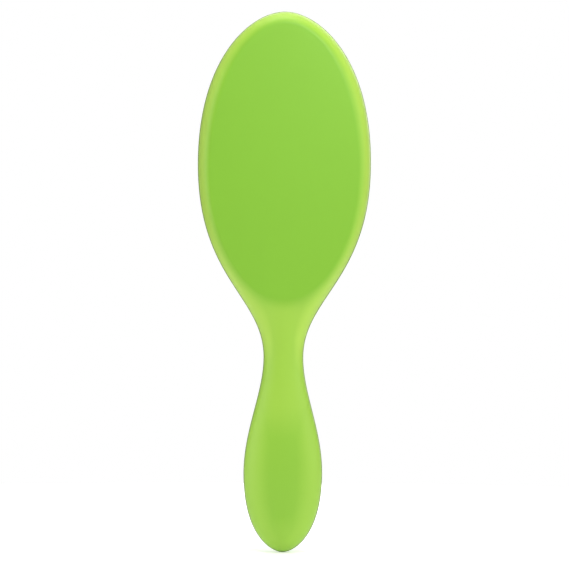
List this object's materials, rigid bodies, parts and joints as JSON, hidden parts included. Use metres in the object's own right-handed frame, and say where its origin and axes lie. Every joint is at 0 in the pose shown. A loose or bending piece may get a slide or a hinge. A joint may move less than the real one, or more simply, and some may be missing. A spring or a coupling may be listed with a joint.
{
  "type": "slicker brush",
  "caption": "Oval-headed slicker brush with a smooth two-shell body, a rounded bulb handle, a sprung rubber cushion and rows of bent wire pins.",
  "frame": {"origin": "centre of the handle's bulb, on the parting plane between the two shells", "axes": "+Z from the handle to the head, +Y the way the pins point, +X to the right when looking at the smooth back"},
  "size_m": [0.0712, 0.0341, 0.222],
  "materials": {
    "soft_touch_green": "soft-touch satin coat over moulded plastic",
    "frame_plastic": "plain moulded plastic",
    "pad_rubber": "matte moulded rubber",
    "foam": "open-cell foam",
    "fibre_card": "pressed fibre card",
    "steel_wire": "drawn stainless wire"
  },
  "bodies": {
    "housing": {"back_shell": "soft_touch_green", "front_shell": "soft_touch_green", "cushion_frame": "frame_plastic", "cushion_pad": "pad_rubber", "foam_pad": "foam"},
    "pin_bed": {"pin_card": "fibre_card", "pin_row_01": "steel_wire", "pin_row_02": "steel_wire", "pin_row_03": "steel_wire", "pin_row_04": "steel_wire", "pin_row_05": "steel_wire", "pin_row_06": "steel_wire", "pin_row_07": "steel_wire", "pin_row_08": "steel_wire", "pin_row_09": "steel_wire", "pin_row_10": "steel_wire", "pin_row_11": "steel_wire", "pin_row_12": "steel_wire", "pin_row_13": "steel_wire", "pin_row_14": "steel_wire", "pin_row_15": "steel_wire", "pin_row_16": "steel_wire", "pin_row_17": "steel_wire", "pin_row_18": "steel_wire", "pin_row_19": "steel_wire", "pin_row_20": "steel_wire", "pin_row_21": "steel_wire", "pin_row_22": "steel_wire"}
  },
  "joints": [
    {"name": "cushion_press", "type": "slide", "parent": "housing", "child": "pin_bed", "axis": [0, -1, 0], "range_m": [0, 0.003], "stiffness_N_per_m": 2500, "deforming": ["cushion_pad", "foam_pad"]}
  ]
}
